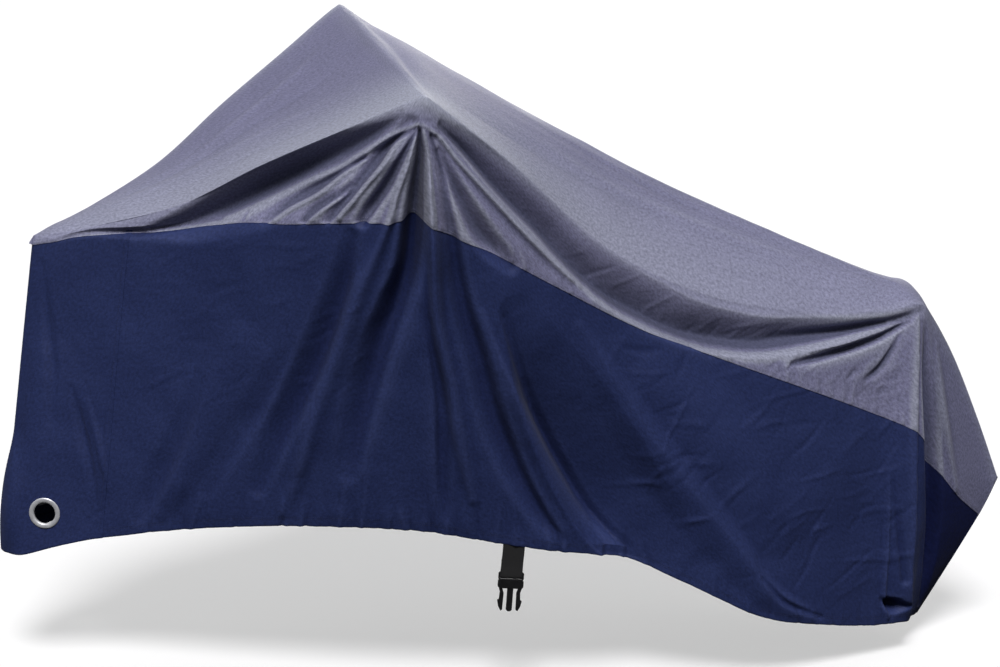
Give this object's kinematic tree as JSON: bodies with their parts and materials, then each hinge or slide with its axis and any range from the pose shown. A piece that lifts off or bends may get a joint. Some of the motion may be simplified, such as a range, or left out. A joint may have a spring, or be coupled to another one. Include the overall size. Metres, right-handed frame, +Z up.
{
  "type": "motorcycle cover",
  "caption": "Fitted cloth cover for a parked motorcycle, grey above and navy below, draped over its handlebars, with lock eyelets at the nose and a belly strap with a buckle.",
  "frame": {"origin": "under the top, midway between the two peaks, where the cover rests on what it covers", "axes": "+X from the nose to the tail, +Y to the right side, +Z up"},
  "size_m": [2.4575, 0.9585, 1.4879],
  "materials": {
    "grey_cloth": "coated woven polyester, satin",
    "navy_cloth": "coated woven polyester, satin",
    "bright_metal": "bright, rolled edge",
    "black_webbing": "woven webbing, matt",
    "black_plastic": "moulded, fine grain"
  },
  "bodies": {
    "root": {"top_panel": "grey_cloth", "skirt_left": "navy_cloth", "skirt_right": "navy_cloth", "nose_strip": "navy_cloth", "eyelet_left": "bright_metal", "eyelet_right": "bright_metal", "strap_left": "black_webbing", "strap_right": "black_webbing", "buckle_plug": "black_plastic", "buckle_socket": "black_plastic"}
  },
  "joints": []
}
